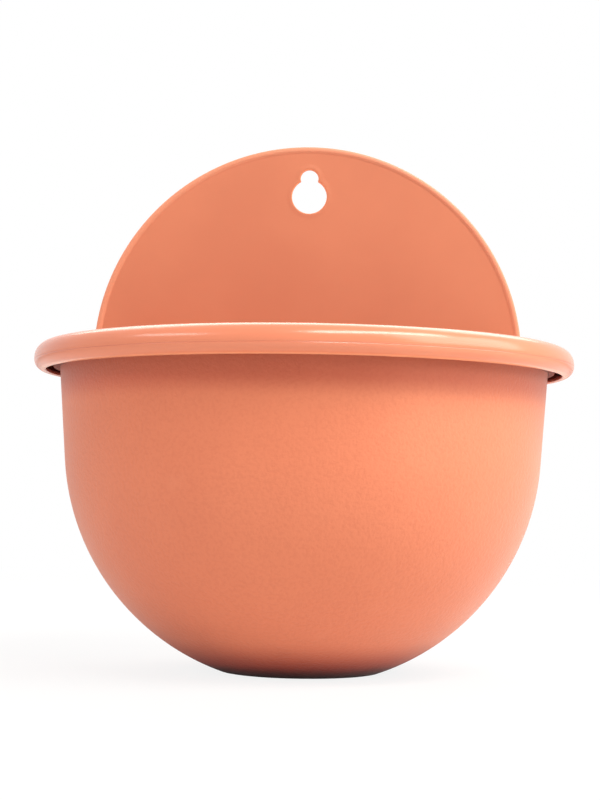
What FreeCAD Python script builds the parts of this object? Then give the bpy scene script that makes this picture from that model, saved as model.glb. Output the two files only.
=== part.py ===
import FreeCAD, Part

import math
import os

# A wall planter, in millimetres: a round bowl with a flat back, a rolled rim that snaps over
# its lip, an arched back plate with a keyhole, a drain grid that lifts out and a drain plug.
# The origin is the centre of the foot, on the bowl's axis. +Z is up and +Y points at the wall.

V = FreeCAD.Vector
UP = V(0, 0, 1)
TO_WALL = V(0, 1, 0)

# Bowl
ball_r = 88.3  # outside radius of the ball that the bowl is cut from
foot_r = 29.4  # radius of the flat circle that it stands on
lean = math.radians(4.2)  # how far the upper wall leans outwards
lip_z = 117.6  # height of the lip
back_y = 50.0  # from the axis to the outside of the flat back
bowl_wall = 2.2
corner_r = 5.0  # rounding between the curved wall and the flat back
base_t = 2.2  # thickness of the base
foot_land = 4.0  # width of the ring that touches the ground
foot_recess = 3.6  # height of the hollow under the base
recess_draft = 0.6
drain_r = 7.0  # radius of the drain hole

# Snap bead round the outside of the lip
bead_drop = 4.2  # from the lip down to its widest line
bead_out = 0.6
bead_ramp = 1.6  # height of the slope above the widest line
bead_under = 0.5  # height of the slope below it
bead_end = 20.0  # it stops this far short of the flat back

# Rolled rim. Drops are measured down from the bowl's lip.
rim_t = 2.0  # thickness of crown, skirt and curl
rim_reach = 9.27  # from the bowl's wall to the rim's widest line
widest_drop = 3.6  # the widest line, where the skirt begins
skirt_flat = 0.7  # height of the skirt's upright part
curl_r = 3.9  # below it the skirt curls in by this radius
curl_bevel = 0.4  # bevel on the curl's two corners
crown_edge = 1.5  # rounding of the crown's inner edge
leg_t = 1.4  # thickness of the leg inside the bowl
leg_drop = 10.1  # its lowest point
clip_t = 1.6  # thickness of the leg outside the bowl
clip_drop = 6.8  # its lowest point
snap_gap = 0.15  # between the lip and the legs

# Back plate
plate_t = 2.4
arch_rise = 2.9  # from the lip up to the arch's centre
edge_bead_r = 1.3  # half-round bead on the arch
shoulder_r = 3.0  # outer corners below the rim's ends
armpit_r = 2.0  # inner corners beside the bowl
plate_edge = 0.6  # bevel on the rear edge
slot_depth = 12.85  # from the arch's top down to the centre of the keyhole's round slot
key_depth = 20.25  # and down to the centre of its entry
key_r = 7.1
slot_r = 3.65
collar_w = 1.1  # raised collar round the keyhole
collar_h = 0.5

# Posts on the bowl's back, staked through the plate
stake_r = 2.0
stake_head_r = 3.4
stake_head_t = 1.1
stake_sink = 0.2  # how far the heads lie below the plate's rear face
stake_bevel = 0.4
stake_gap = 0.1
stake_inset = 16.0  # from the edge of the plate's round lower part
upper_drop = 21.6  # from the lip down to the upper pair
lower_angle = math.radians(52.0)  # of the lower pair, below the ball's centre

# Drain grid
fit = 0.3  # gap between the loose grid and what it rests on
water_h = 12.2  # space for water below the grid
grid_t = 2.0
grid_corner_r = 4.0
grid_land = 0.4  # the bevelled edge ends in a narrow upright land
slot_w = 3.0
slot_rib = 4.2  # least width of the ribs between slots
slot_rings = 3
slot_start = 10.0  # radius where the first ring of slots begins
ring_land = 5.0  # solid band between two rings of slots
edge_land = 3.5  # least land between a slot and the grid's edge
leg_ring_w = 1.8  # stiffening ring under the innermost band
leg_ring_h = 3.0
foot_blades = 4  # upright blades that stand on the bowl's floor, across the ring
blade_t = 1.8
blade_top_l = 5.4  # length of a blade, along the radius, where it joins the grid
blade_foot_l = 3.6
knob_r = 6.0
knob_neck_r = 3.4
knob_h = 9.0
knob_head = 3.2
knob_bevel = 1.0

# Drain plug
plug_gap = 0.05  # between its stem and the drain hole
plug_lip = 4.0  # how far its head covers the base around the hole
plug_head_t = 1.4
plug_seat = 0.3  # between its head and the base
stem_h = 6.0
stem_taper = 0.8
stem_wall = 1.35  # the stem is hollow from above
stem_floor = 1.0
grip_w = 3.0
grip_l = 15.0
grip_h = 1.0

# Worked out from the sizes above
ball_z = math.sqrt(ball_r**2 - foot_r**2)
floor_z = foot_recess + base_t
crown_z = lip_z + rim_t
widest_z = lip_z - widest_drop
skirt_z = widest_z - skirt_flat - curl_r
bead_z = lip_z - bead_drop
arch_z = lip_z + arch_rise
grid_z = floor_z + water_h
beyond = 5.0  # cutting tools run past the surface by this much


def wall_start(grow=0.0):
    """Height where the ball turns into the leaning wall."""
    return ball_z - (ball_r + grow) * math.sin(lean)


def wall_r(z, grow=0.0):
    """Radius of the leaning wall at a height."""
    start = wall_start(grow)
    return (ball_r + grow) * math.cos(lean) + (z - start) * math.tan(lean)


def ball_section_r(z, grow=0.0):
    """Radius of the ball at a height."""
    return math.sqrt((ball_r + grow) ** 2 - (z - ball_z) ** 2)


def line(a, b):
    return Part.LineSegment(a, b).toShape()


def revolve(edges):
    """Turns a closed outline in the XZ plane about the bowl's axis."""
    return Part.Face(Part.Wire(edges)).revolve(V(0, 0, 0), UP, 360)


def polyline(points):
    """Straight edges through (radius, height) points."""
    corners = [V(r, 0, z) for r, z in points]
    return [line(a, b) for a, b in zip(corners, corners[1:])]


def polygon(points):
    """Closed outline through (radius, height) points."""
    return polyline(points + points[:1])


def behind(y):
    """Everything on the wall's side of a plane."""
    size = 4 * (ball_r + rim_reach)
    return Part.makeBox(size, size, 2 * size, V(-size / 2, y, -size))


def round_form(grow, low, high):
    """The bowl's round shape, made larger by grow, between two heights."""
    start = wall_start(grow)
    top = V(wall_r(high, grow), 0, high)
    if low >= start:
        side = [line(V(wall_r(low, grow), 0, low), top)]
    else:
        reach = ball_r + grow
        end = min(start, high)
        low_r = ball_section_r(low, grow)
        low_angle = math.atan2(low - ball_z, low_r)
        end_angle = math.atan2(end - ball_z, ball_section_r(end, grow))
        middle = (low_angle + end_angle) / 2
        on_ball = V(reach * math.cos(middle), 0, ball_z + reach * math.sin(middle))
        turn = V(ball_section_r(end, grow), 0, end)
        side = [Part.Arc(V(low_r, 0, low), on_ball, turn).toShape()]
        if high > start:
            side.append(line(turn, top))
        else:
            top = turn
    outline = [line(V(0, 0, low), side[0].Vertexes[0].Point)] + side
    outline += [line(top, V(0, 0, high)), line(V(0, 0, high), V(0, 0, low))]
    return revolve(outline)


def bowl_form(grow, low, high):
    """The round shape with its flat back and rounded corners, made larger by grow."""
    flat_y = back_y + grow
    form = round_form(grow, low, high).cut(behind(flat_y))
    corners = []
    for edge in form.Edges:
        box = edge.BoundBox
        if box.YMin > flat_y - 0.001 and box.ZLength > 0.001:
            corners.append(edge)
    return form.makeFillet(corner_r + grow, corners)


def snap_bead():
    """The low ridge that the rim's outer leg snaps under, on the curved wall only."""
    low = bead_z - bead_under
    high = bead_z + bead_ramp
    inside = bowl_wall / 2
    bead = revolve(
        polygon(
            [
                (wall_r(low) - inside, low),
                (wall_r(low), low),
                (wall_r(bead_z) + bead_out, bead_z),
                (wall_r(high), high),
                (wall_r(high) - inside, high),
            ]
        )
    )
    return bead.cut(behind(back_y - bead_end))


def stake(x, z):
    """A post that passes through the plate and ends in a head formed behind it."""
    head_y = stake_head_y()
    root_y = back_y - bowl_wall / 2
    post = Part.makeCylinder(stake_r, head_y - root_y, V(x, root_y, z), TO_WALL)
    head = Part.makeCylinder(stake_head_r, stake_head_t, V(x, head_y, z), TO_WALL)
    outer_end = [e for e in head.Edges if e.BoundBox.YMin > head_y + stake_head_t - 0.001]
    return post.fuse(head.makeChamfer(stake_bevel, outer_end))


def stake_head_y():
    """Where the heads begin, sunk into the plate's rear face."""
    return back_y + plate_t - stake_sink - stake_head_t


def stake_points():
    """Centres of the posts, as (x, z), on a circle inside the plate's round lower part."""
    reach = tail_r() - stake_inset
    upper_z = lip_z - upper_drop
    upper_x = math.sqrt(reach**2 - (upper_z - ball_z) ** 2)
    lower_x = reach * math.cos(lower_angle)
    lower_z = ball_z - reach * math.sin(lower_angle)
    return [(-upper_x, upper_z), (upper_x, upper_z), (-lower_x, lower_z), (lower_x, lower_z)]


def make_bowl():
    outside = bowl_form(0.0, 0.0, lip_z)
    inside = bowl_form(-bowl_wall, floor_z, lip_z + beyond)
    bowl = outside.cut(inside)
    recess_r = foot_r - foot_land
    recess = Part.makeCone(recess_r, recess_r - recess_draft, foot_recess)
    drain = Part.makeCylinder(drain_r, floor_z + beyond)
    bowl = bowl.cut(recess).cut(drain)
    bowl = bowl.fuse(snap_bead())
    for x, z in stake_points():
        bowl = bowl.fuse(stake(x, z))
    return bowl


def quarter(x, z, radius, side):
    """Quarter circle about a centre, from straight above (1) or below it (-1) to its right."""
    reach = radius * math.sqrt(0.5)
    end = V(x, 0, z + side * radius)
    middle = V(x + reach, 0, z + side * reach)
    return Part.Arc(end, middle, V(x + radius, 0, z)).toShape()


def rim_r():
    """Radius of the rim's widest line."""
    return wall_r(widest_z) + rim_reach


def hood():
    """The crown as a full disc, with its shoulder, skirt and curled lower edge."""
    outer = rim_r()
    shoulder_r = crown_z - widest_z
    shoulder_x = outer - shoulder_r
    curl_x = outer - curl_r
    curl_z = skirt_z + curl_r
    bevel = curl_bevel
    inside = polyline(
        [
            (curl_x, skirt_z),
            (curl_x - bevel, skirt_z + bevel),
            (curl_x - bevel, skirt_z + rim_t - bevel),
            (curl_x, skirt_z + rim_t),
            (outer - rim_t, curl_z),
            (outer - rim_t, widest_z),
            (shoulder_x, lip_z),
            (0, lip_z),
            (0, crown_z),
            (shoulder_x, crown_z),
        ]
    )
    outside = [
        quarter(shoulder_x, widest_z, shoulder_r, 1),
        line(V(outer, 0, widest_z), V(outer, 0, curl_z)),
        quarter(curl_x, curl_z, curl_r, -1),
    ]
    return revolve(inside + outside)


def round_crown(rim):
    """Rounds the crown's inner edge, all the way round the mouth."""
    inner_edges = []
    for edge in rim.Edges:
        at_top = edge.BoundBox.ZMin > crown_z - 0.001
        points = [vertex.Point for vertex in edge.Vertexes]
        in_mouth = all(math.hypot(p.x, p.y) < wall_r(lip_z) and p.y < back_y - 1.0 for p in points)
        if at_top and in_mouth:
            inner_edges.append(edge)
    return rim.makeFillet(crown_edge, inner_edges)


def make_rim():
    into_crown = lip_z + rim_t / 2
    bead_room = bead_out + snap_gap
    hook_z = bead_z - bead_under - snap_gap
    inside = -bowl_wall - snap_gap
    clip_z = lip_z - clip_drop
    leg_z = lip_z - leg_drop
    clip = bowl_form(bead_room + clip_t, clip_z, into_crown)
    bead_slot = bowl_form(bead_room, hook_z, lip_z)
    hook_slot = bowl_form(snap_gap, clip_z - beyond, hook_z)
    leg = bowl_form(inside, leg_z, into_crown)
    mouth = bowl_form(inside - leg_t, leg_z - beyond, crown_z + beyond)
    rim = hood().fuse(clip).cut(bead_slot).cut(hook_slot).fuse(leg).cut(mouth)
    return round_crown(rim.cut(behind(back_y)).removeSplitter())


def arch_r():
    """The arch is as wide as the rim where the rim meets the plate."""
    return math.sqrt(rim_r() ** 2 - back_y**2)


def tail_r():
    """The plate's lower part ends where the bowl's rounded corners begin."""
    half_corner = (math.pi - math.acos(back_y / ball_r)) / 2
    return math.sqrt(ball_r**2 - back_y**2) - corner_r / math.tan(half_corner)


def plate_section(bead):
    """Half of the plate's section across the arch, with or without the bead on its edge."""
    reach = arch_r()
    rear = back_y + plate_t
    front = [line(V(0, back_y, arch_z), V(reach, back_y, arch_z))]
    if bead:
        start = V(reach - 2 * edge_bead_r, back_y, arch_z)
        crest = V(reach - edge_bead_r, back_y - edge_bead_r, arch_z)
        front = [
            line(V(0, back_y, arch_z), start),
            Part.Arc(start, crest, V(reach, back_y, arch_z)).toShape(),
        ]
    outline = front + [
        line(V(reach, back_y, arch_z), V(reach, rear, arch_z)),
        line(V(reach, rear, arch_z), V(0, rear, arch_z)),
        line(V(0, rear, arch_z), V(0, back_y, arch_z)),
    ]
    return Part.Face(Part.Wire(outline))


def both_sides(shape):
    return shape.fuse(shape.mirror(V(0, 0, 0), V(1, 0, 0)))


def plate_blank():
    """Arch above the rim, shoulders behind its ends and a rounded tail behind the bowl."""
    arch = plate_section(True).revolve(V(0, 0, arch_z), TO_WALL, -180)
    beside_rim = plate_section(False).extrude(V(0, 0, skirt_z - arch_z))
    above_rim = plate_section(True).extrude(V(0, 0, crown_z - arch_z))
    reach = tail_r()
    tail = Part.makeCylinder(reach, plate_t, V(0, back_y, ball_z), TO_WALL)
    neck = Part.makeBox(2 * reach, plate_t, arch_z - ball_z, V(-reach, back_y, ball_z))
    blank = arch.fuse([both_sides(beside_rim), both_sides(above_rim), tail, neck])
    blank = blank.removeSplitter()
    for x, radius in ((arch_r(), shoulder_r), (reach, armpit_r)):
        corners = []
        for edge in blank.Edges:
            box = edge.BoundBox
            through = abs(box.YLength - plate_t) < 0.001
            here = abs(abs(box.Center.x) - x) < 0.001 and abs(box.Center.z - skirt_z) < 0.001
            if through and here:
                corners.append(edge)
        blank = blank.makeFillet(radius, corners)
    rear_edges = [e for e in blank.Edges if e.BoundBox.YMin > back_y + plate_t - 0.001]
    return blank.makeChamfer(plate_edge, rear_edges)


def keyhole(grow, front, rear):
    """Entry and slot circles, made larger by grow, between two Y positions."""
    arch_top = arch_z + arch_r()
    key = V(0, front, arch_top - key_depth)
    slot = V(0, front, arch_top - slot_depth)
    entry = Part.makeCylinder(key_r + grow, rear - front, key, TO_WALL)
    return entry.fuse(Part.makeCylinder(slot_r + grow, rear - front, slot, TO_WALL)).removeSplitter()


def make_plate():
    rear = back_y + plate_t
    plate = plate_blank()
    plate = plate.fuse(keyhole(collar_w, back_y - collar_h, back_y + plate_t / 2))
    plate = plate.cut(keyhole(0.0, back_y - beyond, rear + beyond))
    for x, z in stake_points():
        hole = Part.makeCylinder(stake_r + stake_gap, 2 * beyond, V(x, back_y - beyond, z), TO_WALL)
        sink = Part.makeCylinder(stake_head_r + stake_gap, beyond, V(x, stake_head_y(), z), TO_WALL)
        plate = plate.cut(hole).cut(sink)
    return plate.removeSplitter()


def grid_slot(inner, outer, angle):
    """Cutting tool for one slot that points away from the axis."""
    place = V(inner, -slot_w / 2, grid_z - beyond)
    tool = Part.makeBox(outer - inner, slot_w, grid_t + 2 * beyond, place)
    tool.rotate(V(0, 0, 0), UP, angle)
    return tool


def grid_edge_r(z):
    """Radius of the grid's bevelled edge at a height, clear of the bowl's inside."""
    return ball_section_r(z, -bowl_wall - fit)


def slot_length():
    """The space between the knob and the grid's edge is shared by the rings of slots."""
    lands = (slot_rings - 1) * ring_land
    return (grid_edge_r(grid_z) - edge_land - slot_start - lands) / slot_rings


def grid_slots(flat_y):
    """All slots that keep a full land to the grid's straight edge."""
    tools = []
    for ring in range(slot_rings):
        inner = slot_start + ring * (slot_length() + ring_land)
        outer = inner + slot_length()
        count = int(2 * math.pi * inner / (slot_w + slot_rib))
        for i in range(count):
            angle = 360.0 * (i + 0.5) / count
            reach = outer * math.sin(math.radians(angle)) + slot_w / 2
            if reach < flat_y - edge_land:
                tools.append(grid_slot(inner, outer, angle))
    return Part.makeCompound(tools)


def leg_ring_r():
    """Middle of the innermost solid band, where the grid's ring and feet are."""
    return slot_start + slot_length() + ring_land / 2


def make_grid():
    flat_y = back_y - bowl_wall - snap_gap - leg_t - fit
    top = grid_z + grid_t
    reach = grid_edge_r(top) - grid_land
    outline = Part.makeCylinder(reach, grid_t, V(0, 0, grid_z)).cut(behind(flat_y))
    corners = []
    for edge in outline.Edges:
        box = edge.BoundBox
        if box.YMin > flat_y - 0.001 and box.ZLength > 0.001:
            corners.append(edge)
    outline = outline.makeFillet(grid_corner_r, corners)
    plate = round_form(-bowl_wall - fit, grid_z, top).common(outline)
    inner = leg_ring_r() - leg_ring_w / 2
    ring_foot = V(0, 0, grid_z - leg_ring_h)
    ring = Part.makeCylinder(inner + leg_ring_w, leg_ring_h + grid_t / 2, ring_foot)
    ring = ring.cut(Part.makeCylinder(inner, leg_ring_h + grid_t, ring_foot))
    grid = plate.cut(grid_slots(flat_y)).fuse(ring)
    for i in range(foot_blades):
        grid = grid.fuse(foot_blade(360.0 * (i + 0.5) / foot_blades))
    return grid.fuse(grid_knob(top)).removeSplitter()


def foot_blade(angle):
    """One upright blade under the grid, tapering down to the bowl's floor."""
    low = floor_z + fit
    high = grid_z + grid_t / 2
    middle = leg_ring_r()
    corners = [
        V(middle - blade_top_l / 2, -blade_t / 2, high),
        V(middle + blade_top_l / 2, -blade_t / 2, high),
        V(middle + blade_foot_l / 2, -blade_t / 2, low),
        V(middle - blade_foot_l / 2, -blade_t / 2, low),
    ]
    outline = [line(a, b) for a, b in zip(corners, corners[1:] + corners[:1])]
    blade = Part.Face(Part.Wire(outline)).extrude(V(0, blade_t, 0))
    blade.rotate(V(0, 0, 0), UP, angle)
    return blade


def grid_knob(top):
    """The knob that the grid is lifted by: a neck under a rounded head."""
    neck = Part.makeCylinder(knob_neck_r, knob_h, V(0, 0, top - grid_t / 2))
    head = Part.makeCylinder(knob_r, knob_head, V(0, 0, top + knob_h - knob_head))
    rims = [edge for edge in head.Edges if edge.Closed and edge.BoundBox.ZLength < 0.001]
    return neck.fuse(head.makeChamfer(knob_bevel, rims))


def make_plug():
    """A hollow bung with a flat head and a grip bar, all above the ground."""
    stem_r = drain_r - plug_gap
    seat = foot_recess - plug_seat
    top = seat + stem_h
    head_r = drain_r + plug_lip
    bung = revolve(
        polygon(
            [
                (0, seat - plug_head_t),
                (head_r, seat - plug_head_t),
                (head_r, seat),
                (stem_r, seat),
                (stem_r, floor_z),
                (stem_r - stem_taper, top),
                (0, top),
            ]
        )
    )
    core_r = stem_r - stem_taper - stem_wall
    core = Part.makeCylinder(core_r, stem_h + beyond, V(0, 0, seat + stem_floor))
    low = seat - plug_head_t - grip_h
    grip = Part.makeBox(grip_l, grip_w, grip_h + plug_head_t / 2, V(-grip_l / 2, -grip_w / 2, low))
    corners = [edge for edge in grip.Edges if edge.BoundBox.ZLength > grip_h]
    return bung.cut(core).fuse(grip.makeFillet(grip_w * 0.49, corners)).removeSplitter()


def make_all():
    os.makedirs("parts", exist_ok=True)
    shapes = {
        "bowl": make_bowl(),
        "rim_ring": make_rim(),
        "back_plate": make_plate(),
        "drain_grid": make_grid(),
        "drain_plug": make_plug(),
    }
    for name, shape in shapes.items():
        solid = shape.Solids[0]
        print(name, "solids:", len(shape.Solids), "volume:", round(solid.Volume), solid.isValid())
        solid.exportStep("parts/" + name + ".step")


make_all()
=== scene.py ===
# %% [markdown]
# # A wall planter
# The planter is a half-round plastic bowl that hangs on one screw: a grained ball-shaped shell,
# a smooth rolled rim and an arched plate with a keyhole. Lengths are in metres, +Z is up and +Y
# points at the wall.

import math

import bmesh
import bpy
from mathutils import Matrix, Vector


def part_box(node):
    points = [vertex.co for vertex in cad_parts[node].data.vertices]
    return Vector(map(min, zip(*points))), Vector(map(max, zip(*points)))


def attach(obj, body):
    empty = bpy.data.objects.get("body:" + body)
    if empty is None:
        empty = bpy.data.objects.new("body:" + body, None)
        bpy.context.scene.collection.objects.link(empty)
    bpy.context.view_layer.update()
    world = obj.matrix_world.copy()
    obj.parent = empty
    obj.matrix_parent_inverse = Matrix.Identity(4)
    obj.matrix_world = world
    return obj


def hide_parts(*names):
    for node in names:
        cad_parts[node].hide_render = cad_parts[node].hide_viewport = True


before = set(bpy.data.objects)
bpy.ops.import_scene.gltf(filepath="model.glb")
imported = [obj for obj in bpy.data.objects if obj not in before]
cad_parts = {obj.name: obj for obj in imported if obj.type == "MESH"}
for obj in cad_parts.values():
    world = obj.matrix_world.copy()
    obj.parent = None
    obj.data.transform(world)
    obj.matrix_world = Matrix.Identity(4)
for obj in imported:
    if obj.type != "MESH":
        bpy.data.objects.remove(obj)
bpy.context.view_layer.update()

# %% [markdown]
# ## The camera
# The photograph looks at the planter from just under the rim's height, from a little to the
# right, and the planter leans a trifle to the right in it. A camera is described the way a
# photographer would: how far off it stands, how high, and how it is turned. Blender aims a
# camera along its own -Z, so its three axes are worked out and become a rotation matrix. The
# Standard view transform shows a colour as it is written, with no film curve on top.

# %% Place the camera
mm = 0.001
photo_h = 800  # height of the picture, in pixels
camera_distance = 628.4 * mm
camera_round = math.radians(1.27)  # how far round to the right it stands
camera_height = 62.2 * mm
camera_turn = math.radians(-0.12)  # how far it is turned past the bowl's axis
camera_pitch = math.radians(3.5)
camera_roll = math.radians(0.87)
focal_px = 1679.7  # focal length, in pixels of the photograph
sensor = 36.0

camera_place = Vector((
    camera_distance * math.sin(camera_round),
    -camera_distance * math.cos(camera_round),
    camera_height,
))
heading = camera_turn - camera_round
ahead = Vector((
    math.sin(heading) * math.cos(camera_pitch),
    math.cos(heading) * math.cos(camera_pitch),
    math.sin(camera_pitch),
))
level = Vector((math.cos(heading), -math.sin(heading), 0))
upright = level.cross(ahead)
across = math.cos(camera_roll) * level + math.sin(camera_roll) * upright
upwards = math.cos(camera_roll) * upright - math.sin(camera_roll) * level

camera_data = bpy.data.cameras.new("camera")
camera_data.sensor_width = sensor
camera_data.lens = sensor * focal_px / photo_h
camera = bpy.data.objects.new("camera", camera_data)
turned = Matrix((across, upwards, -ahead)).transposed()
camera.matrix_world = Matrix.Translation(camera_place) @ turned.to_4x4()
bpy.context.scene.collection.objects.link(camera)
bpy.context.scene.camera = camera
bpy.context.scene.view_settings.view_transform = "Standard"
print("lens in mm:", round(camera_data.lens, 2))

# %% [markdown]
# ## Sizes
# The pieces are modelled at the sizes of the construction model. A few sizes drive the rest:
# the ball that the bowl is cut from, the height of its lip, and the plane of its flat back.
# What can be read from the frame is read there, so a piece can't drift from what carries it.

# %% Take the planter's sizes
ball_r = 88.3 * mm
foot_r = 29.4 * mm
lean = math.radians(4.2)  # how far the upper wall leans outwards
bowl_wall = 2.2 * mm
corner_r = 5.0 * mm  # rounding where the ball meets the flat back
lip_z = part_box("bowl")[1].z
back_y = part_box("rim_ring")[1].y  # outside of the flat back, where the rim ends too
crown_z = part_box("rim_ring")[1].z
rim_r = -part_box("rim_ring")[0].y
ball_z = math.sqrt(ball_r**2 - foot_r**2)
rim_t = crown_z - lip_z
shoulder_r = 5.6 * mm  # the rim's round shoulder
widest_z = crown_z - shoulder_r
curl_r = 3.9 * mm  # the rim's lower edge, rolled inwards
curl_z = widest_z - 0.7 * mm
skirt_z = curl_z - curl_r
parting_z = 113.05 * mm  # where the two halves of the mould met
plate_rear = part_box("back_plate")[1].y
arch_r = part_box("back_plate")[1].x
arch_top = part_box("back_plate")[1].z
arch_z = arch_top - arch_r
key_r, key_z = 7.1 * mm, arch_top - 20.25 * mm
slot_r, slot_z = 3.65 * mm, arch_top - 12.85 * mm
centre_line = Vector((0, 0, 1))
to_wall = Vector((0, 1, 0))


def wall_r(z, grow=0.0):
    """Radius of the leaning wall at a height, on a skin that lies outside the bowl by grow."""
    start = ball_z - (ball_r + grow) * math.sin(lean)
    return (ball_r + grow) * math.cos(lean) + (z - start) * math.tan(lean)


print("lip at", round(lip_z / mm, 2), "mm, rim", round(2 * rim_r / mm, 1), "mm across")

# %% [markdown]
# ## Shader sums
# A material is a graph of nodes, and written out node by node it is hard to read. `Field`
# wraps a node's output, so that `grain * 0.5 + cloud` adds the Math nodes itself. It also
# knows the soft step, which turns a spread of values into a mask from 0 to 1.

# %% Write shader maths as Python expressions
class Field:
    def __init__(self, shader, socket):
        self.shader = shader
        self.socket = socket

    def math(self, operation, *values):
        return self.shader.node("Math", {"operation": operation}, dict(enumerate(values)))

    def __add__(self, other):
        return self.math("ADD", self, other)

    def __radd__(self, other):
        return self.math("ADD", other, self)

    def __sub__(self, other):
        return self.math("SUBTRACT", self, other)

    def __rsub__(self, other):
        return self.math("SUBTRACT", other, self)

    def __mul__(self, other):
        return self.math("MULTIPLY", self, other)

    def __rmul__(self, other):
        return self.math("MULTIPLY", other, self)

    def step(self, low, high):
        """0 up to low, 1 from high on, and soft between them."""
        sockets = {0: self, 1: low, 2: high}
        return self.shader.node("MapRange", {"interpolation_type": "SMOOTHSTEP"}, sockets)


def rgb(red, green, blue):
    """A colour given as a screen shows it, 0 to 255, as the light values that shaders use."""
    def linear(c):
        c = c / 255
        return c / 12.92 if c <= 0.04045 else ((c + 0.055) / 1.055) ** 2.4
    return (linear(red), linear(green), linear(blue), 1.0)


print("red of the shell in light values:", round(rgb(226, 124, 88)[0], 3))

# %% [markdown]
# `Shader` starts a material on Blender's Principled surface. One method adds any node: its
# settings come first, because they can change which sockets it has, and its sockets after.
# Everything is placed by Object coordinates, the same metres that the pieces are made in, so
# a grain of one millimetre is written as one millimetre.

# %% Start materials and add nodes to them
class Shader:
    def __init__(self, name, **constants):
        self.material = bpy.data.materials.new(name)
        self.material.use_nodes = True
        self.tree = self.material.node_tree
        self.surface = self.tree.nodes["Principled BSDF"]
        for socket, value in constants.items():
            self.surface.inputs[socket.replace("_", " ")].default_value = value
        self.place = self.node("TexCoord", out="Object")

    def node(self, kind, settings=None, sockets=None, out=0):
        node = self.tree.nodes.new("ShaderNode" + kind)
        for name, value in (settings or {}).items():
            setattr(node, name, value)
        for name, value in (sockets or {}).items():
            self.feed(node.inputs[name], value)
        return Field(self, node.outputs[out])

    def feed(self, socket, value):
        if isinstance(value, Field):
            self.tree.links.new(value.socket, socket)
        else:
            socket.default_value = value

    def mix(self, share, first, second):
        """Colours, mixed by a share of the second: a Mix node's colour sockets are 0, 6 and 7."""
        sockets = {0: share, 6: first, 7: second}
        return self.node("Mix", {"data_type": "RGBA"}, sockets, out=2)

    def noise(self, size, detail=2.0, roughness=0.5, place=None):
        """Soft spots of about this size in metres, from 0 to 1."""
        sockets = {
            "Vector": place or self.place, "Scale": 1.0 / size,
            "Detail": detail, "Roughness": roughness,
        }
        return self.node("TexNoise", None, sockets)

    def axis(self, letter):
        return self.node("SeparateXYZ", None, {0: self.place}, out=letter)

    def away_from(self, x, z):
        """Distance from a line that runs through the planter from front to back."""
        side, up = self.axis("X") - x, self.axis("Z") - z
        square = side * side + up * up
        return square.math("SQRT", square)

    def radius(self):
        """Distance from the bowl's upright axis."""
        x, y = self.axis("X"), self.axis("Y")
        square = x * x + y * y
        return square.math("SQRT", square)

    def color(self, field):
        self.feed(self.surface.inputs["Base Color"], field)

    def rough(self, field):
        self.feed(self.surface.inputs["Roughness"], field)

    def bump(self, height, depth):
        sockets = {"Height": height, "Distance": depth, "Strength": 1.0}
        self.feed(self.surface.inputs["Normal"], self.node("Bump", None, sockets))


print("a material starts from the Principled surface and Object coordinates")

# %% [markdown]
# ## The grained shell
# The bowl's mould was etched, so the plastic has a fine dull grain, about a millimetre from
# bump to bump, that shows best where the light grazes it under the rim. The colour is nearly
# even, with soft clouds in it and a few handling marks. Shade is painted into the colour: a
# painted contact shadow round the foot, painted shade in the channel of the rim and a painted
# shadow in the angle under it. A dull plastic also looks paler where it is seen edge-on, and
# that is what sheen does.

# %% Mix the grained shell's finish
grain_size = 1.3 * mm
# Colours of painted shade: a dark red for the shade round the foot and the rim's shadow, a near
# black for the deepest shade.
painted_shade_color, painted_deep_shade_color = rgb(156, 18, 8), rgb(52, 5, 2)


def outside(s):
    """1 on everything that lies outside the bowl's wall, 0 on what lies in its mouth."""
    return s.radius().step(88.95 * mm, 89.1 * mm)


def shell_finish():
    s = Shader("grained_shell", Sheen_Weight=0.22, Sheen_Roughness=0.45, Specular_IOR_Level=0.35)
    cloud = s.noise(55 * mm, 2.0).step(0.3, 0.7)
    grain = s.noise(grain_size, 2.0, 0.55)
    fine = s.noise(0.4 * mm, 1.0)
    marks = s.noise(16 * mm, 4.0, 0.6).step(0.6, 0.78)
    color = s.mix(cloud, rgb(226, 131, 95), rgb(221, 126, 91))
    color = s.mix(0.12 * (1 - grain.step(0.3, 0.6)), color, rgb(190, 88, 60))
    color = s.mix(marks * 0.12, color, rgb(236, 156, 124))
    height = s.axis("Z")
    # Painted contact shadow: darker and rougher round the foot, up to 15 mm high.
    painted_foot_shadow = 0.9 * (1 - height.step(0.0, 15 * mm)) * s.noise(14 * mm, 3.0).step(0.0, 0.35)
    # Painted shade on the bowl's wall inside the rim's channel, above the skirt's lower edge.
    high = height.step(skirt_z + 0.8 * mm, skirt_z + 2.5 * mm) * outside(s)
    # Painted shadow of the rim on the bowl, from 96 mm up to the rim.
    painted_rim_shadow = 0.42 * height.step(96 * mm, 104 * mm) * outside(s)
    # Painted deep shade, near black: the lowest 5.5 mm at the foot and the wall in the rim's
    # channel.
    painted_deep_shade = 0.9 * (1 - height.step(0.0, 5.5 * mm)) + 0.9 * high
    color = s.mix(painted_foot_shadow + painted_rim_shadow, color, painted_shade_color)
    s.color(s.mix(painted_deep_shade, color, painted_deep_shade_color))
    s.rough(0.44 + 0.14 * grain + 0.06 * marks + 0.36 * painted_foot_shadow)
    s.bump(grain + 0.25 * fine, 0.2 * mm)
    return s.material


print("the grain is", round(grain_size / mm, 1), "mm from bump to bump")
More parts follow.
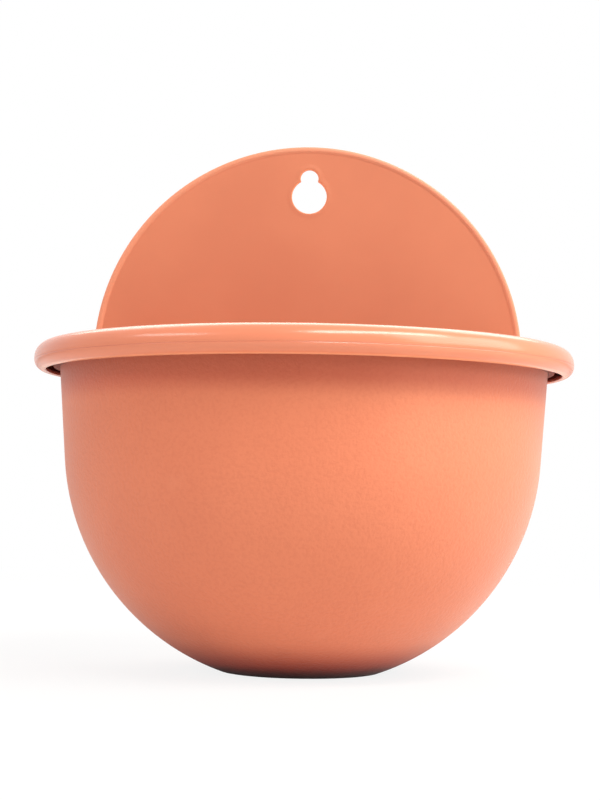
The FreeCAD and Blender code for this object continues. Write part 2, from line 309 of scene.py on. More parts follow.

# %% [markdown]
# ## The satin mouldings
# The rim and the plate came out of polished moulds, so they are smooth enough to show soft
# highlights. Polishing leaves faint lines that run along the rim, so that noise is read at
# The rim's lower edge, the arch's outer edge and the bead are paler, a painted highlight where
# light catches them; the keyhole's edge is paler too, and the rim's channel is dark, painted
# shade.
# Edges that get handled are paler: the rim's lower edge, the arch and the keyhole's edge.

# %% Mix the finishes of the rim and of the plate
def rim_finish():
    s = Shader("smooth_rim", IOR=1.58)
    x, y, z = s.axis("X"), s.axis("Y"), s.axis("Z")
    angle = y.math("ARCTAN2", y, x)
    radius = s.radius()
    along = s.node("CombineXYZ", None, {0: angle * 0.012, 1: radius, 2: z})
    lines = s.noise(0.7 * mm, 3.0, 0.6, along)
    cloud = s.noise(60 * mm).step(0.3, 0.7)
    color = s.mix(cloud, rgb(229, 135, 98), rgb(224, 129, 94))
    # Painted highlight: the rim's lower edge is paler, broken by the polishing lines.
    edge = (1 - z.step(skirt_z + 0.1 * mm, skirt_z + 0.7 * mm)) * radius.step(94 * mm, 95 * mm)
    color = s.mix(edge * (0.35 + 0.5 * lines), color, rgb(255, 176, 134))
    seam = 1 - (z - parting_z).math("ABSOLUTE", z - parting_z).step(0.05 * mm, 0.22 * mm)
    color = s.mix(seam * 0.3, color, rgb(186, 84, 58))
    # Painted shade: the rim's channel, between the skirt and the bowl, is dark and rough.
    inside = 1 - radius.step(rim_r - rim_t - 0.3 * mm, rim_r - rim_t + 0.1 * mm)
    below = 1 - z.step(lip_z - 0.2 * mm, lip_z + 0.1 * mm)
    painted_channel_shade = outside(s) * inside * below * z.step(skirt_z + 0.6 * mm, skirt_z + 1.2 * mm)
    s.color(s.mix(painted_channel_shade * 0.85, color, rgb(96, 20, 14)))
    s.rough(0.16 + 0.10 * lines + 0.6 * painted_channel_shade)
    s.bump(lines, 0.0012 * mm)
    return s.material


def plate_finish():
    s = Shader("smooth_plate")
    cloud = s.noise(45 * mm, 3.0).step(0.3, 0.7)
    peel = s.noise(3.5 * mm, 2.0)
    color = s.mix(cloud, rgb(211, 126, 92), rgb(205, 120, 87))
    # Painted highlight: a thin paler line along the arch's outer edge.
    edge = s.away_from(0.0, arch_z).step(arch_r - 0.35 * mm, arch_r - 0.1 * mm)
    edge = edge * s.axis("Z").step(crown_z, crown_z + 2 * mm)
    # Painted highlight: a paler band over the bead along the arch.
    painted_bead_highlight = s.away_from(0.0, arch_z).step(arch_r - 2.7 * mm, arch_r - 2.0 * mm)
    painted_bead_highlight = painted_bead_highlight * s.axis("Z").step(crown_z, crown_z + 2 * mm)
    color = s.mix(painted_bead_highlight * 0.4, color, rgb(248, 172, 138))
    color = s.mix(edge * 0.5, color, rgb(250, 158, 108))
    entry = s.away_from(0.0, key_z) - key_r
    slot = s.away_from(0.0, slot_z) - slot_r
    hole = entry.math("MINIMUM", entry, slot)
    color = s.mix(0.7 * (1 - hole.step(0.05 * mm, 0.35 * mm)), color, rgb(255, 150, 84))
    s.color(color)
    s.rough(0.33 + 0.10 * peel + 0.05 * cloud)
    s.bump(peel, 0.012 * mm)
    return s.material


print("the parting line is drawn", round(parting_z / mm, 2), "mm up")

# %% [markdown]
# ## The loose parts' finishes
# The drain grid is the same plastic in a plainer moulding: dull, with fine marks from lifting
# it out, and darker low down. The plug is a soft, dark rubber with a bloom on it, paler in
# patches.

# %% Mix the finishes of the grid and of the plug
def grid_finish():
    s = Shader("inner_grid")
    cloud = s.noise(20 * mm, 3.0).step(0.3, 0.7)
    rub = s.noise(2.5 * mm, 5.0, 0.7).step(0.5, 0.75)
    low = 1 - s.axis("Z").step(8 * mm, 18 * mm)
    color = s.mix(cloud, rgb(218, 114, 80), rgb(208, 106, 75))
    color = s.mix(low * 0.5, color, rgb(150, 78, 54))
    s.color(s.mix(rub * 0.18, color, rgb(236, 150, 118)))
    s.rough(0.45 + 0.2 * rub)
    s.bump(s.noise(0.8 * mm), 0.03 * mm)
    return s.material


def rubber_finish():
    s = Shader("plug_rubber", Sheen_Weight=0.15)
    bloom = s.noise(4 * mm, 4.0, 0.6).step(0.4, 0.7)
    s.color(s.mix(bloom * 0.4, rgb(112, 50, 38), rgb(146, 84, 68)))
    s.rough(0.6 + 0.2 * bloom)
    s.bump(s.noise(0.5 * mm, 2.0), 0.03 * mm)
    return s.material


finishes = {
    "bowl": shell_finish(),
    "rim_ring": rim_finish(),
    "back_plate": plate_finish(),
    "drain_grid": grid_finish(),
    "drain_plug": rubber_finish(),
}
for node, finish in finishes.items():
    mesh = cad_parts[node].data
    for slot in range(len(mesh.materials)):
        mesh.materials[slot] = finish
    print(node, "is finished in", finish.name)

# %% [markdown]
# ## Light
# The planter was lit in a white studio: a wide soft light on its right, a long one higher up
# that draws the streak on the rim and throws the rim's shadow on the bowl, a weaker one on the
# left, and one above and behind that draws a thin white line along the top of the rim. Each is
# an area lamp, given by the way to it as seen from the bowl: so far round from the front, so
# high, so far off.

# %% Hang the lamps
def soft_lamp(name, round_deg, high_deg, distance, size, power, color):
    lamp = bpy.data.lights.new(name, "AREA")
    lamp.shape = "RECTANGLE"
    lamp.size, lamp.size_y = size
    lamp.energy = power
    lamp.color = color
    thing = bpy.data.objects.new(name, lamp)
    turn, lift = math.radians(round_deg), math.radians(high_deg)
    away = Vector((
        math.sin(turn) * math.cos(lift), -math.cos(turn) * math.cos(lift), math.sin(lift),
    ))
    thing.location = Vector((0, 0, 100 * mm)) + away * distance
    thing.rotation_euler = away.to_track_quat("Z", "Y").to_euler()
    bpy.context.scene.collection.objects.link(thing)
    print(name, "is", round(distance, 2), "m off")


soft_lamp("key_lamp", 72, 27, 1.2, (1.2, 0.8), 9.8, (0.89, 1.0, 0.93))
soft_lamp("strip_lamp", 40, 54, 1.2, (1.0, 0.3), 11.5, (0.98, 1.0, 0.94))
soft_lamp("fill_lamp", -58, 33, 1.2, (0.6, 0.2), 2.2, (1.0, 0.90, 0.88))
soft_lamp("back_lamp", 180, 50, 1.0, (1.2, 0.6), 6.5, (1.0, 0.98, 0.95))

# %% [markdown]
# ## World and floor
# The studio is white all round, and its light is even. A ray from the camera, and one that is
# mirrored by the plastic, sees it at full white, while the light that it gives is weaker and
# a little rosy, as light is that has been on a terracotta thing before. The floor glows white
# in part for the same rays, and fully further off, where it meets the white behind it. The
# rest of it is a plain pale surface, which keeps the planter's shadow.

# %% Set up the white studio
def ray_kind(tree, glossy_share):
    """1 for a ray from the camera, a share for one mirrored or let through, otherwise 0."""
    rays = tree.nodes.new("ShaderNodeLightPath")
    reached = rays.outputs["Is Camera Ray"]
    for kind in ("Is Glossy Ray", "Is Transmission Ray"):
        added = tree.nodes.new("ShaderNodeMath")
        added.operation = "MULTIPLY_ADD"
        tree.links.new(rays.outputs[kind], added.inputs[0])
        added.inputs[1].default_value = glossy_share
        tree.links.new(reached, added.inputs[2])
        reached = added.outputs[0]
    return reached


world = bpy.data.worlds.new("studio")
bpy.context.scene.world = world
world.use_nodes = True
tree = world.node_tree
lit = tree.nodes["Background"]
lit.inputs["Color"].default_value = (1.0, 0.89, 0.88, 1.0)
lit.inputs["Strength"].default_value = 0.44
white = tree.nodes.new("ShaderNodeBackground")
white.inputs["Color"].default_value = (1.0, 1.0, 1.0, 1.0)
choice = tree.nodes.new("ShaderNodeMixShader")
tree.links.new(ray_kind(tree, 1.0), choice.inputs[0])
tree.links.new(lit.outputs[0], choice.inputs[1])
tree.links.new(white.outputs[0], choice.inputs[2])
tree.links.new(choice.outputs[0], tree.nodes["World Output"].inputs["Surface"])
print("world light:", lit.inputs["Strength"].default_value)

# %% [markdown]
# The floor is one large square of mesh at the height of the planter's foot.

# %% Lay the floor
floor_mesh = bpy.data.meshes.new("floor")
bm = bmesh.new()
bmesh.ops.create_grid(bm, x_segments=1, y_segments=1, size=3.0)
bm.to_mesh(floor_mesh)
bm.free()
floor = bpy.data.objects.new("floor", floor_mesh)
bpy.context.scene.collection.objects.link(floor)
floor_finish = Shader("floor_white", Base_Color=rgb(230, 229, 228), Roughness=0.9)
glow = floor_finish.node("Emission", None, {"Color": (1, 1, 1, 1), "Strength": 1.0})
far = floor_finish.radius().step(0.35, 0.9)
share = Field(floor_finish, ray_kind(floor_finish.tree, 0.15)) * (0.86 + 0.14 * far)
plain = Field(floor_finish, floor_finish.surface.outputs[0])
both = floor_finish.node("MixShader", None, {0: share, 1: plain, 2: glow})
floor_finish.feed(floor_finish.tree.nodes["Material Output"].inputs["Surface"], both)
floor_mesh.materials.append(floor_finish.material)
print("floor:", round(floor.dimensions.x, 1), "m wide")

# %% [markdown]
# ## A pen and a lathe
# Most of a moulded planter is turned or drawn: its section is an outline of straight runs and
# round stretches. The pen draws one into a bmesh by extruding its last vertex, again and
# again, each time turned a little on about a centre where the outline is round. The lathe
# then spins the whole outline about the bowl's axis.

# %% Draw outlines and turn them
turn_steps = 180  # facets in a full turn
round_steps = 8  # facets in a small rounded corner


class Pen:
    def __init__(self, bm, start):
        self.bm = bm
        self.tip = self.start = bm.verts.new(start)
        self.drawn = []

    def to(self, *place):
        grown = bmesh.ops.extrude_vert_indiv(self.bm, verts=[self.tip])
        self.tip = grown["verts"][0]
        self.tip.co = place
        self.drawn += grown["edges"]

    def bend(self, centre, degrees, steps, axis):
        turn = Matrix.Rotation(math.radians(degrees / steps), 3, axis)
        for _ in range(steps):
            arm = self.tip.co - Vector(centre)
            self.to(*(Vector(centre) + turn @ arm))

    def close(self):
        """Merges a tip that has come back to the start, or draws one last run to it."""
        if (self.tip.co - self.start.co).length < 0.001 * mm:
            bmesh.ops.weld_verts(self.bm, targetmap={self.tip: self.start})
            self.drawn = [e for e in self.drawn if e.is_valid] + [
                e for e in self.start.link_edges if e not in self.drawn]
        else:
            self.drawn.append(self.bm.edges.new((self.tip, self.start)))
        return self.drawn


def lathe(bm, axis=centre_line, steps=turn_steps):
    """Spins everything drawn so far once round an axis through the frame's origin."""
    bmesh.ops.spin(
        bm, geom=bm.verts[:] + bm.edges[:], cent=(0, 0, 0), axis=axis,
        angle=2 * math.pi, steps=steps, use_merge=True,
    )


print("a full turn has", turn_steps, "facets")

# %% [markdown]
# ## Slicing and joining
# The planter is flat at the back, so what comes off the lathe is sliced there. Skins that
# are made apart are joined into one mesh, and their open borders are bridged: a border is
# found by asking which open edges lie where they should.

# %% Slice, join and bridge
def slice_off(bm, place, direction):
    """Takes away what lies beyond a plane, and gives back the edges along the cut."""
    everything = bm.verts[:] + bm.edges[:] + bm.faces[:]
    cut = bmesh.ops.bisect_plane(
        bm, geom=everything, dist=1e-7, plane_co=place, plane_no=direction, clear_outer=True,
    )["geom_cut"]
    return [part for part in cut if isinstance(part, bmesh.types.BMEdge)]


def joined(first, second):
    """Two bmeshes as one."""
    mesh = bpy.data.meshes.new("joining")
    second.to_mesh(mesh)
    second.free()
    first.from_mesh(mesh)
    bpy.data.meshes.remove(mesh)
    return first


def open_edges(bm, wanted):
    return [e for e in bm.edges if e.is_boundary and all(wanted(v.co) for v in e.verts)]


def ends_of(edges):
    """The two vertices where a chain of edges stops."""
    verts = [v for e in edges for v in e.verts]
    return [v for v in verts if verts.count(v) == 1]


guard = 0.4 * mm


def inset(bm, face, thickness):
    bmesh.ops.inset_region(
        bm, faces=[face], thickness=thickness, use_even_offset=True, use_boundary=True)


def fill_with_guard(bm, edges):
    """Fills a flat border, with a narrow strip all round that keeps the shading flat."""
    face = bmesh.ops.edgeloop_fill(bm, edges=edges)["faces"]
    bmesh.ops.recalc_face_normals(bm, faces=face)
    inset(bm, face[0], guard)


print("slicing plane: y =", round(back_y / mm, 1), "mm")

# %% [markdown]
# ## From bmesh to a piece
# Every finished piece goes through the same last steps. Doubles are merged and the normals
# turned outwards, faces are shaded smooth with sharp edges kept where they turn by more than
# a few tens of degrees, and the piece gets its finish and its body, while the node it stands
# for is hidden.

# %% Turn a bmesh into a piece of the planter
sharp_angle = math.radians(32)


def make_piece(name, bm, finish, body, node=None):
    bmesh.ops.remove_doubles(bm, verts=bm.verts, dist=0.001 * mm)
    bmesh.ops.recalc_face_normals(bm, faces=bm.faces)
    mesh = bpy.data.meshes.new(name)
    bm.to_mesh(mesh)
    open_count = sum(not edge.is_manifold for edge in bm.edges)
    bm.free()
    mesh.shade_smooth()
    mesh.set_sharp_from_angle(angle=sharp_angle)
    mesh.materials.append(finish)
    piece = bpy.data.objects.new(name, mesh)
    bpy.context.scene.collection.objects.link(piece)
    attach(piece, body)
    if node:
        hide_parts(node)
    mesh.calc_loop_triangles()
    low = [round(min(v.co[i] for v in mesh.vertices) / mm, 2) for i in range(3)]
    high = [round(max(v.co[i] for v in mesh.vertices) / mm, 2) for i in range(3)]
    print(name, len(mesh.loop_triangles), "triangles from", low, "to", high, "open:", open_count)
    return piece


print("edges sharper than", round(math.degrees(sharp_angle)), "degrees stay sharp")

# %% [markdown]
# ## The bowl's corner
# The bowl has two skins, an outer and an inner one, each a ball that turns into a leaning wall
# and is sliced off flat at the back. A boolean could slice it, but leaves a sharp corner that
# is hard to round. Here each skin is sliced where the rounding begins. The cut's edges are
# then extruded a few times along the path of a ball that rolls in the corner: each vertex
# turns about its own rolling centre, from the skin's direction to the wall's.

# %% Roll the corner of a sliced skin
def skin_normal(place, grow):
    """Direction away from the skin: from the ball's centre, or square to the leaning wall."""
    from_ball = Vector((place.x, place.y, place.z - ball_z))
    if from_ball.z < -(ball_r + grow) * math.sin(lean):
        return from_ball.normalized()
    outwards = Vector((place.x, place.y, 0)).normalized()
    return outwards * math.cos(lean) - centre_line * math.sin(lean)


def roll_corner(bm, grow):
    flat_y = back_y + grow
    small_r = corner_r + grow
    touch_y = (flat_y - small_r) * (ball_r + grow) / (ball_r + grow - small_r)
    slice_off(bm, (0, touch_y, 0), to_wall)

    def on_cut(place):
        return abs(place.y - touch_y) < 0.001 * mm
    cut = [v for v in bm.verts if on_cut(v.co)]
    bmesh.ops.remove_doubles(bm, verts=cut, dist=0.7 * mm)
    cut = [v for v in bm.verts if on_cut(v.co)]
    close = bmesh.ops.find_doubles(bm, verts=bm.verts, keep_verts=cut, dist=0.7 * mm)
    bmesh.ops.weld_verts(bm, targetmap=close["targetmap"])
    edges = open_edges(bm, on_cut)
    rolling = bm.verts.layers.float_vector.new("rolling")
    outward = bm.verts.layers.float_vector.new("outward")
    for vert in {v for e in edges for v in e.verts}:
        normal = skin_normal(vert.co, grow)
        radius = (flat_y - vert.co.y) / (1 - normal.y)
        vert[rolling] = vert.co - radius * normal
        vert[outward] = radius * normal
    for step in range(1, round_steps + 1):
        grown = bmesh.ops.extrude_edge_only(bm, edges=edges)["geom"]
        edges = [part for part in grown if isinstance(part, bmesh.types.BMEdge)]
        for vert in {v for e in edges for v in e.verts}:
            arm = Vector(vert[outward])
            share = step / round_steps
            way = arm.normalized().slerp(to_wall, share) if share < 1 else to_wall
            vert.co = Vector(vert[rolling]) + arm.length * way
    slice_off(bm, (0, 0, lip_z), centre_line)
    return open_edges(bm, lambda place: abs(place.y - flat_y) < 0.001 * mm)


print("the corner is rounded to", round(corner_r / mm, 1), "mm")

# %% [markdown]
# ## The bowl's two skins
# The outer skin runs from the lip down the wall and round the ball to the foot, a ring that
# touches the ground, and on into the hollow under the base as far as the drain hole. The
# inner skin ends in the bowl's floor. Both have the same drain hole, so that a bridge between
# their last loops makes the hole's wall, and another makes the lip. Both start a little above
# the lip and are trimmed level after the corner is rolled, as a moulding is trimmed.

# %% Turn the two skins
drain_r = 7.0 * mm
foot_land = 4.0 * mm
foot_recess = 3.6 * mm
recess_draft = 0.6 * mm
floor_z = foot_recess + 2.2 * mm
trim = 1.0 * mm


def draw_skin(bm, grow, low_z):
    top = lip_z + trim
    start = ball_z - (ball_r + grow) * math.sin(lean)
    pen = Pen(bm, (wall_r(top, grow), 0, top))
    wall_rows = 6
    for row in range(1, wall_rows + 1):
        z = top + (start - top) * row / wall_rows
        pen.to(wall_r(z, grow), 0, z)
    turn = math.degrees(math.asin((low_z - ball_z) / (ball_r + grow)) + lean)
    pen.bend((0, 0, ball_z), -turn, 40, to_wall)
    return pen


def outer_skin():
    bm = bmesh.new()
    pen = draw_skin(bm, 0.0, 0.0)
    pen.to(foot_r - foot_land, 0, 0)
    pen.to(foot_r - foot_land - recess_draft, 0, foot_recess)
    pen.to(drain_r + 3 * mm, 0, foot_recess)
    pen.to(drain_r, 0, foot_recess)
    bmesh.ops.bevel(
        bm, geom=[v for v in bm.verts if v.co.z < 0.001 * mm], offset=0.4 * mm, segments=3,
        affect="VERTICES", profile=0.5, material=-1,
    )
    lathe(bm)
    return bm


def inner_skin():
    bm = bmesh.new()
    pen = draw_skin(bm, -bowl_wall, floor_z)
    pen.to(drain_r, 0, floor_z)
    lathe(bm)
    return bm


def with_flat_back(bm, grow):
    chain = roll_corner(bm, grow)
    top = bm.edges.new(ends_of(chain))
    fill_with_guard(bm, chain + [top])
    return bm


print("floor of the bowl at", round(floor_z / mm, 1), "mm")

# %% [markdown]
# ## The bowl in one piece
# To bridge two loops that lie in one plane, Blender has to guess which way round they go, so
# the inner lip is lifted out of the way first and set down again. A low ridge runs round the
# outside under the lip, where nobody sees it: the rim's clip snaps under it.

# %% Join the skins and add the ridge
def snap_ridge():
    """A low ridge with a long slope above and a short one below; it stops before the corners."""
    bm = bmesh.new()
    peak = lip_z - 4.2 * mm
    low, high = peak - 0.5 * mm, peak + 1.6 * mm
    pen = Pen(bm, (wall_r(low) - 0.5 * mm, 0, low))
    pen.to(wall_r(low), 0, low)
    pen.to(wall_r(peak) + 0.6 * mm, 0, peak)
    pen.to(wall_r(high), 0, high)
    pen.to(wall_r(high) - 0.5 * mm, 0, high)
    pen.close()
    lathe(bm)
    cut = slice_off(bm, (0, back_y - 20 * mm, 0), to_wall)
    bmesh.ops.holes_fill(bm, edges=cut)
    return bm


def with_lip_lifted(bm):
    for vert in {v for e in open_edges(bm, at_lip) for v in e.verts}:
        vert.co.z += 5 * mm
    return bm


def at_lip(place):
    return place.z > lip_z - 0.001 * mm


def at_drain(place):
    return math.hypot(place.x, place.y) < drain_r + 0.001 * mm


inner = with_lip_lifted(with_flat_back(inner_skin(), -bowl_wall))
bowl = joined(with_flat_back(outer_skin(), 0.0), inner)
bmesh.ops.bridge_loops(bowl, edges=open_edges(bowl, at_lip))
bmesh.ops.bridge_loops(bowl, edges=open_edges(bowl, at_drain))
for vert in bowl.verts:
    vert.co.z = min(vert.co.z, lip_z)
bowl = joined(bowl, snap_ridge())
make_piece("bowl_shell", bowl, finishes["bowl"], "planter", "bowl")

# %% [markdown]
# ## The rolled rim
# The rim's outer part is turned: a round shoulder, a short upright skirt with the mould's
# parting line round it, and a lower edge that curls in. A V-shaped groove a tenth of a
# millimetre deep is enough for the parting line, because it catches the light.

# %% Turn the shoulder, the skirt and the curl
def turned_band():
    bm = bmesh.new()
    shoulder_x = rim_r - shoulder_r
    curl_x = rim_r - curl_r
    soft = 0.4 * mm
    groove = 0.18 * mm  # half its width
    turn = math.asin((curl_z - parting_z + groove) / curl_r)
    pen = Pen(bm, (shoulder_x - soft, 0, crown_z))
    pen.to(shoulder_x, 0, crown_z)
    pen.bend((shoulder_x, 0, widest_z), 90, 16, to_wall)
    pen.to(rim_r, 0, parting_z + groove)
    pen.to(rim_r - 0.10 * mm, 0, parting_z)
    pen.to(curl_x + curl_r * math.cos(turn), 0, curl_z - curl_r * math.sin(turn))
    pen.bend((curl_x, 0, curl_z), 90 - math.degrees(turn), 12, to_wall)
    pen.to(curl_x - soft, 0, skirt_z + soft)
    pen.to(curl_x - soft, 0, skirt_z + rim_t - soft)
    pen.to(curl_x, 0, skirt_z + rim_t)
    pen.to(rim_r - rim_t, 0, curl_z)
    pen.to(rim_r - rim_t, 0, widest_z)
    pen.to(shoulder_x, 0, lip_z)
    lathe(bm)
    return bm


print("the skirt hangs down to", round(skirt_z / mm, 1), "mm")

# %% [markdown]
# ## Rings of the mouth
# The rim's inner part follows the bowl's mouth, which is round with a flat back, so that part
# is a stack of D-shaped rings joined by bridges. The rings of one stack may lie in one plane
# or inside each other, so they are bridged while they stand well apart, one above the other,
# and only then slide to their own heights.

# %% Draw and stack D-shaped rings
def d_ring(bm, grow, z, parked):
    """The bowl's level section at a height, on a skin that lies outside it by grow."""
    radius = wall_r(z, grow)
    flat_y = back_y + grow
    small_r = corner_r + grow
    side_y = flat_y - small_r
    side_x = math.sqrt((radius - small_r) ** 2 - side_y**2)
    lift = math.degrees(math.atan2(side_y, side_x))
    pen = Pen(bm, (side_x, flat_y, parked))
    pen.bend((side_x, side_y, parked), lift - 90, round_steps, centre_line)
    pen.bend((0, 0, parked), -180 - 2 * lift, 128, centre_line)
    pen.bend((-side_x, side_y, parked), lift - 90, round_steps, centre_line)
    return pen.close()


def bridge_in_turn(bm, rows, closed=False):
    for row, following in zip(rows, rows[1:] + (rows[:1] if closed else [])):
        bmesh.ops.bridge_loops(bm, edges=row + following)


def ring_stack(bm, places, closed=False):
    rows = [d_ring(bm, grow, z, 20 * mm * k) for k, (grow, z) in enumerate(places)]
    bridge_in_turn(bm, rows, closed)
    for row, (grow, z) in zip(rows, places):
        for vert in {v for e in row for v in e.verts}:
            vert.co.z = z
    return rows


print("a ring has", 128 + 2 * round_steps + 1, "edges")

# %% [markdown]
# ## Crown, leg and clip
# The crown's inner edge is rounded, and below it one leg reaches down inside the bowl's lip.
# Between skirt and bowl hangs the other, the clip, whose hook snaps under the ridge on the
# bowl. The crown is filled as one flat face with the mouth left open.

# %% Build the rim
snap_gap = 0.15 * mm
leg_t = 1.4 * mm
leg_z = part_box("rim_ring")[0].z
crown_edge = 1.5 * mm
clip_t = 1.6 * mm
clip_z = lip_z - 6.8 * mm
hook_z = lip_z - 4.85 * mm


def leg_places():
    """From under the crown down outside the leg, up inside it and round on to the crown."""
    outside = -bowl_wall - snap_gap
    mouth = outside - leg_t
    places = [(outside, lip_z), (outside, leg_z), (mouth, leg_z)]
    for row in range(7):
        angle = math.radians(15) * row
        grow = mouth + crown_edge * (1 - math.cos(angle))
        places.append((grow, crown_z - crown_edge * (1 - math.sin(angle))))
    places.append((mouth + crown_edge + 0.4 * mm, crown_z))
    return places


def clip():
    bm = bmesh.new()
    buried = lip_z + rim_t / 2
    room = 0.6 * mm + snap_gap
    ring_stack(bm, [
        (room, buried), (room, hook_z), (snap_gap, hook_z), (snap_gap, clip_z),
        (room + clip_t, clip_z), (room + clip_t, buried),
    ], closed=True)
    cut = slice_off(bm, (0, back_y, 0), to_wall)
    bmesh.ops.holes_fill(bm, edges=cut)
    return bm


def rim_shell():
    bm = turned_band()
    slice_off(bm, (0, back_y, 0), to_wall)
    top = open_edges(bm, lambda place: abs(place.z - crown_z) < 0.001 * mm)
    under = open_edges(bm, lambda place: abs(place.z - lip_z) < 0.001 * mm)
    sections = [e for e in bm.edges if e.is_boundary and e not in top and e not in under]
    top.append(bm.edges.new(ends_of(top)))
    under.append(bm.edges.new(ends_of(under)))
    bmesh.ops.edgeloop_fill(bm, edges=sections + [top[-1], under[-1]])
    rows = ring_stack(bm, leg_places())
    bmesh.ops.triangle_fill(bm, edges=top + rows[-1], use_beauty=True, normal=centre_line)
    bmesh.ops.triangle_fill(bm, edges=under + rows[0], use_beauty=True, normal=-centre_line)
    return bm


rim = joined(rim_shell(), clip())
make_piece("rolled_rim", rim, finishes["rim_ring"], "planter", "rim_ring")

# %% [markdown]
# ## The plate's outline
# The plate is a flat sheet: an arch above the rim, two shoulders behind the rim's ends and a
# round tail behind the bowl. The outline is drawn once, on the rear face, clockwise as seen
# from the front, and an extrusion gives the plate its thickness.

# %% Draw the plate's outline
plate_front = back_y
tail_r = math.sqrt((ball_r - corner_r) ** 2 - (back_y - corner_r) ** 2)
shoulder = 3.0 * mm
armpit = 2.0 * mm


def plate_outline(bm, y):
    pen = Pen(bm, (arch_r, y, crown_z))
    pen.to(arch_r, y, crown_z - 0.02 * mm)
    pen.to(arch_r, y, skirt_z + shoulder)
    pen.bend((arch_r - shoulder, y, skirt_z + shoulder), 90, 6, to_wall)
    pen.to(tail_r + armpit, y, skirt_z)
    pen.bend((tail_r + armpit, y, skirt_z - armpit), -90, 5, to_wall)
    pen.to(tail_r, y, ball_z)
    pen.bend((0, y, ball_z), 180, 100, to_wall)
    pen.to(-tail_r, y, skirt_z - armpit)
    pen.bend((-tail_r - armpit, y, skirt_z - armpit), -90, 5, to_wall)
    pen.to(-arch_r + shoulder, y, skirt_z)
    pen.bend((-arch_r + shoulder, y, skirt_z + shoulder), 90, 6, to_wall)
    pen.to(-arch_r, y, crown_z - 0.02 * mm)
    pen.to(-arch_r, y, crown_z)
    pen.to(-arch_r, y, arch_z)
    pen.bend((0, y, arch_z), 180, 120, to_wall)
    return pen.close()


print("the tail is", round(2 * tail_r / mm, 1), "mm across")

# %% [markdown]
# ## Bead and keyhole
# The raised bead along the arch is a row of small insets of the front face, each lifted to its
# height: a quarter-round on the outside, and a long soft slope down to the plate inside. Below
# the rim the bowl lies against the plate, so there the insets stay flat. The keyhole is two
# circles that run into one another, with a low collar round it. Its rows are drawn apart and
# bridged, then slid to their depths.

# %% Raise the bead and draw the keyhole
bead_r = 1.3 * mm
bead_h = 0.45 * mm
bead_slope = 1.5 * mm  # the long soft side towards the middle of the plate


def bead_profile():
    """Distance from the plate's edge and height over its face, in small steps."""
    for step in range(1, 7):
        angle = math.radians(15) * step
        yield bead_r * (1 - math.cos(angle)), bead_h * math.sin(angle)
    for step in range(1, 9):
        share = step / 8
        yield bead_r + share * bead_slope, bead_h * (0.5 + 0.5 * math.cos(math.pi * share))
    yield bead_r + bead_slope + 0.1 * mm, 0.0


def raise_bead(bm, face):
    lift = bm.verts.layers.float.new("lift")
    reached = 0.0
    for reach, height in bead_profile():
        inset(bm, face, reach - reached)
        for vert in face.verts:
            vert[lift] = height if vert.co.z > crown_z - 0.001 * mm else 0.0
        reached = reach
    for vert in bm.verts:
        vert.co.y -= vert[lift]


def keyhole_loop(bm, grow, y):
    entry, slot = key_r + grow, slot_r + grow
    apart = slot_z - key_z
    up = (entry**2 - slot**2 + apart**2) / (2 * apart)
    side = math.sqrt(entry**2 - up**2)
    pen = Pen(bm, (side, y, key_z + up))
    pen.bend((0, y, key_z), 360 - 2 * math.degrees(math.atan2(side, up)), 48, to_wall)
    pen.bend((0, y, slot_z), 360 - 2 * math.degrees(math.atan2(side, apart - up)), 28, to_wall)
    return pen.close()


def keyhole(bm):
    """The collar and the hole's wall, from the front face to the rear one."""
    rows = [
        (2.8, 0.0), (2.4, 0.0), (2.0, 0.02), (1.5, 0.07), (1.0, 0.13), (0.6, 0.15), (0.25, 0.14),
        (0.07, 0.08), (0.0, -0.1), (0.0, -2.2), (0.2, -2.4), (0.6, -2.4),
    ]
    loops = [keyhole_loop(bm, grow * mm, -20 * mm * k) for k, (grow, up) in enumerate(rows)]
    bridge_in_turn(bm, loops)
    for loop, (grow, up) in zip(loops, rows):
        for vert in {v for e in loop for v in e.verts}:
            vert.co.y = plate_front - up * mm
    return loops[0], loops[-1]


key_low, key_high = key_z - key_r, slot_z + slot_r
print("keyhole from", round(key_low / mm, 1), "to", round(key_high / mm, 1), "mm up")

# %% [markdown]
# ## The plate in one piece
# Four pockets in the rear hold the melted ends of the bowl's posts. The front and the rear are
# flat faces with holes in them, and `triangle_fill` makes such a face from its borders.

# %% Put the plate together
head_r = 3.4 * mm
head_y = plate_rear - 1.3 * mm
posts_r = tail_r - 16 * mm


def post_places():
    upper_z = lip_z - 21.6 * mm
    upper_x = math.sqrt(posts_r**2 - (upper_z - ball_z) ** 2)
    lower_x = posts_r * math.cos(math.radians(52))
    lower_z = ball_z - posts_r * math.sin(math.radians(52))
    return [(-upper_x, upper_z), (upper_x, upper_z), (-lower_x, lower_z), (lower_x, lower_z)]


def pocket(bm, x, z):
    floor_verts = bmesh.ops.create_circle(
        bm, cap_ends=True, segments=32, radius=head_r + 0.1 * mm)["verts"]
    stand = Matrix.Translation((x, head_y, z)) @ Matrix.Rotation(math.radians(90), 4, "X")
    bmesh.ops.transform(bm, matrix=stand, verts=floor_verts)
    edges = list(floor_verts[0].link_faces[0].edges)
    grown = bmesh.ops.extrude_edge_only(bm, edges=edges)["geom"]
    for vert in (part for part in grown if isinstance(part, bmesh.types.BMVert)):
        vert.co.y = plate_rear
    return [e for e in grown if isinstance(e, bmesh.types.BMEdge) and e.is_boundary]


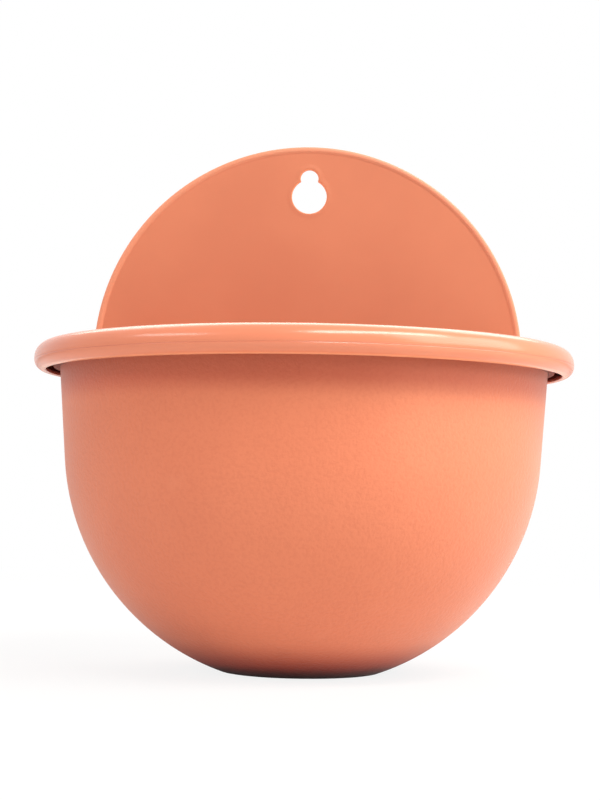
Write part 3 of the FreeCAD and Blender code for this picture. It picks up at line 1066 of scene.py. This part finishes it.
def refill(bm, face, holes, normal):
    """Swaps a big face for one with holes in it."""
    border = list(face.edges)
    bmesh.ops.delete(bm, geom=[face], context="FACES_ONLY")
    bmesh.ops.triangle_fill(bm, edges=border + holes, use_beauty=True, normal=normal)


def plate():
    bm = bmesh.new()
    rear = bmesh.ops.edgeloop_fill(bm, edges=plate_outline(bm, plate_rear))["faces"][0]
    grown = bmesh.ops.extrude_face_region(bm, geom=[rear], use_keep_orig=True)["geom"]
    front = next(part for part in grown if isinstance(part, bmesh.types.BMFace))
    for vert in front.verts:
        vert.co.y = plate_front
    bmesh.ops.recalc_face_normals(bm, faces=bm.faces)
    bmesh.ops.bevel(
        bm, geom=list(rear.edges), offset=0.6 * mm, segments=2,
        affect="EDGES", profile=0.5, material=-1,
    )
    at_rear = [f for f in bm.faces if f.calc_center_median().y > plate_rear - 0.01 * mm]
    rear = max(at_rear, key=lambda f: f.calc_area())
    inset(bm, rear, guard)
    raise_bead(bm, front)
    front_hole, rear_hole = keyhole(bm)
    pockets = [e for x, z in post_places() for e in pocket(bm, x, z)]
    refill(bm, front, front_hole, -to_wall)
    refill(bm, rear, rear_hole + pockets, to_wall)
    return bm


make_piece("arched_plate", plate(), finishes["back_plate"], "planter", "back_plate")

# %% [markdown]
# ## The staked posts
# Four posts on the bowl's back pass through the plate, and their ends are melted into flat
# round heads in the pockets, which is how two moulded parts are joined for good. The tool
# leaves a shallow dimple in the middle of each head.

# %% Form the heads of the posts
def post_head(x, z):
    bm = bmesh.new()
    top = plate_rear - 0.2 * mm
    soft = 0.5 * mm
    pen = Pen(bm, (0, head_y, 0))
    pen.to(head_r, head_y, 0)
    pen.to(head_r, top - soft, 0)
    pen.bend((head_r - soft, top - soft, 0), 90, 4, centre_line)
    pen.to(0.9 * mm, top, 0)
    pen.to(0.6 * mm, top - 0.12 * mm, 0)
    pen.to(0, top - 0.12 * mm, 0)
    lathe(bm, to_wall, 32)
    bmesh.ops.translate(bm, verts=bm.verts, vec=(x, 0, z))
    return bm


heads = bmesh.new()
for x, z in post_places():
    heads = joined(heads, post_head(x, z))
make_piece("staked_posts", heads, finishes["bowl"], "planter")
